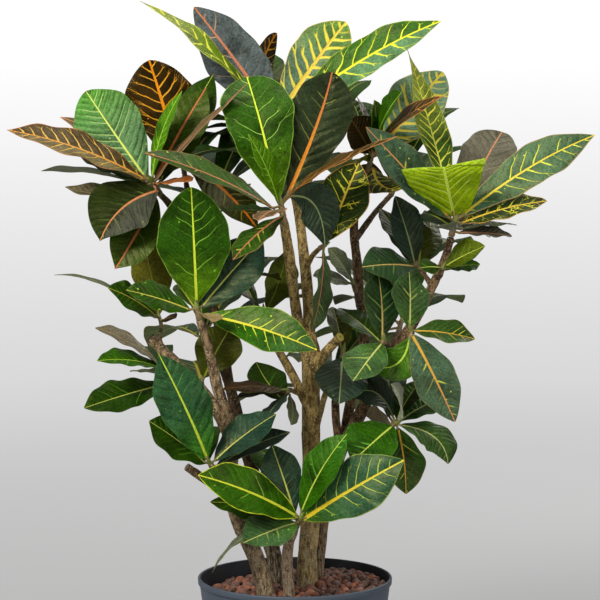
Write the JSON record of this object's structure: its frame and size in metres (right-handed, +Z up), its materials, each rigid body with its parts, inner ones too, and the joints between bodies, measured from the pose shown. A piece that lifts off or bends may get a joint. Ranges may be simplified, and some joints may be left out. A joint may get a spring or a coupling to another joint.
{
  "type": "potted croton",
  "caption": "Branched croton with thick pointed leaves in crowns on bare woody stems, standing in a round plastic pot filled with clay granules.",
  "frame": {"origin": "centre of the pot's flat underside", "axes": "+Z up along the pot's axis, -Y towards the viewer in front of the plant, +X to the viewer's right"},
  "size_m": [0.6424, 0.4424, 0.8376],
  "materials": {
    "pot_plastic": "satin",
    "clay": "matte, porous",
    "bark": "rough bark",
    "leaf": "satin, with yellow and orange veins"
  },
  "bodies": {
    "root": {"pot": "pot_plastic", "clay_granules": "clay", "stem_left": "bark", "stem_rear": "bark", "stem_small": "bark", "stem_main": "bark", "stem_right": "bark", "crown_low_front": "leaf", "crown_left_low": "leaf", "crown_left_middle": "leaf", "crown_centre": "leaf", "crown_centre_twig": "leaf", "crown_left_high": "leaf", "crown_left_high_rear": "leaf", "crown_right_high": "leaf", "crown_top": "leaf", "crown_right_high_rear": "leaf", "sprout_right_branch": "leaf", "sprout_right_branch_rear": "leaf", "crown_right_middle": "leaf", "crown_right_stub": "leaf", "crown_right_inner": "leaf", "crown_right_low": "leaf", "crown_left_twig": "leaf", "crown_left_low_rear": "leaf", "sprout_left_fork": "leaf", "sprout_main_trunk": "leaf", "crown_centre_rear": "leaf", "sprout_tall_right": "leaf", "crown_rear_left": "leaf", "crown_rear_left_high": "leaf", "crown_rear_high": "leaf", "crown_rear_right_high": "leaf", "crown_rear_centre": "leaf", "crown_rear_right": "leaf"}
  },
  "joints": []
}
